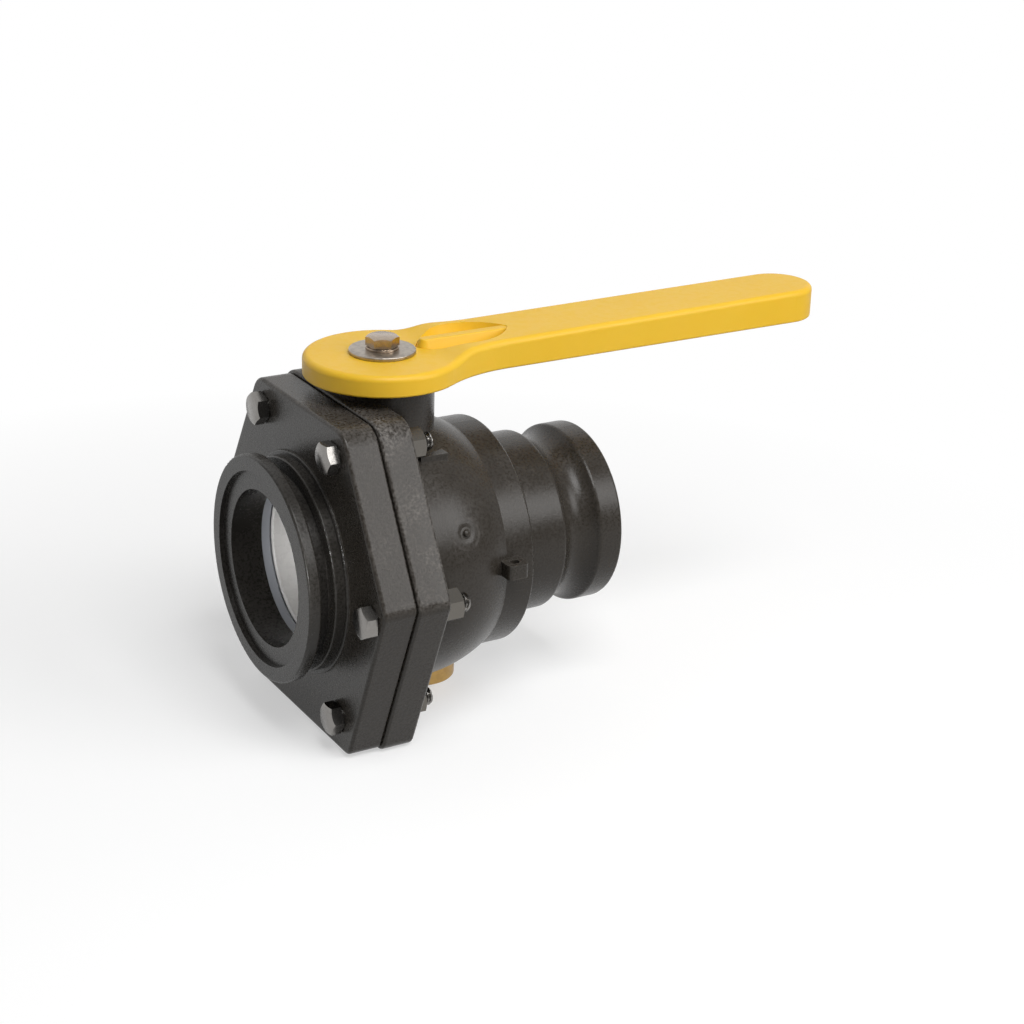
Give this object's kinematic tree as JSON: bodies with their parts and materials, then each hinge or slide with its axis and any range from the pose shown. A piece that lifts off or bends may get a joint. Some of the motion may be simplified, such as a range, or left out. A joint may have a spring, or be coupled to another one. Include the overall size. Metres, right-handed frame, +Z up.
{
  "type": "ibc tank valve",
  "caption": "Quarter-turn ball valve with hexagonal bolted flanges, a clamp-ring inlet, a cam-groove outlet and a lever handle that turns the ball to open or shut the flow.",
  "frame": {"origin": "centre of the inlet ring's sealing plane, on the flow axis", "axes": "+X along the flow to the outlet, +Z up the stem to the handle, +Y to the left of the flow"},
  "size_m": [0.218, 0.1244, 0.1309],
  "materials": {
    "black_plastic": "moulded satin",
    "yellow_plastic": "moulded satin",
    "stainless": "machined",
    "seat_plastic": "smooth",
    "ball_plastic": "polished",
    "rubber": "matte",
    "brass": "dull machined"
  },
  "bodies": {
    "housing": {"valve_body": "black_plastic", "inlet_cover": "black_plastic", "inlet_seat": "seat_plastic", "outlet_seat": "seat_plastic", "inlet_seat_o_ring": "rubber", "outlet_seat_o_ring": "rubber", "body_o_ring": "rubber", "stem_thrust_washer": "seat_plastic", "flange_bolts": "stainless", "flange_nuts": "stainless", "drain_plug": "brass", "drain_plug_o_ring": "rubber"},
    "handle_and_ball": {"ball": "ball_plastic", "stem": "black_plastic", "lower_stem_o_ring": "rubber", "upper_stem_o_ring": "rubber", "handle": "yellow_plastic", "handle_washer": "stainless", "handle_lock_washer": "stainless", "handle_bolt": "stainless"}
  },
  "joints": [
    {"name": "handle_turn", "type": "hinge", "parent": "housing", "child": "handle_and_ball", "pos_m": [0.04498, 0, 0], "axis": [0, 0, 1], "range_deg": [-90, 0]}
  ]
}
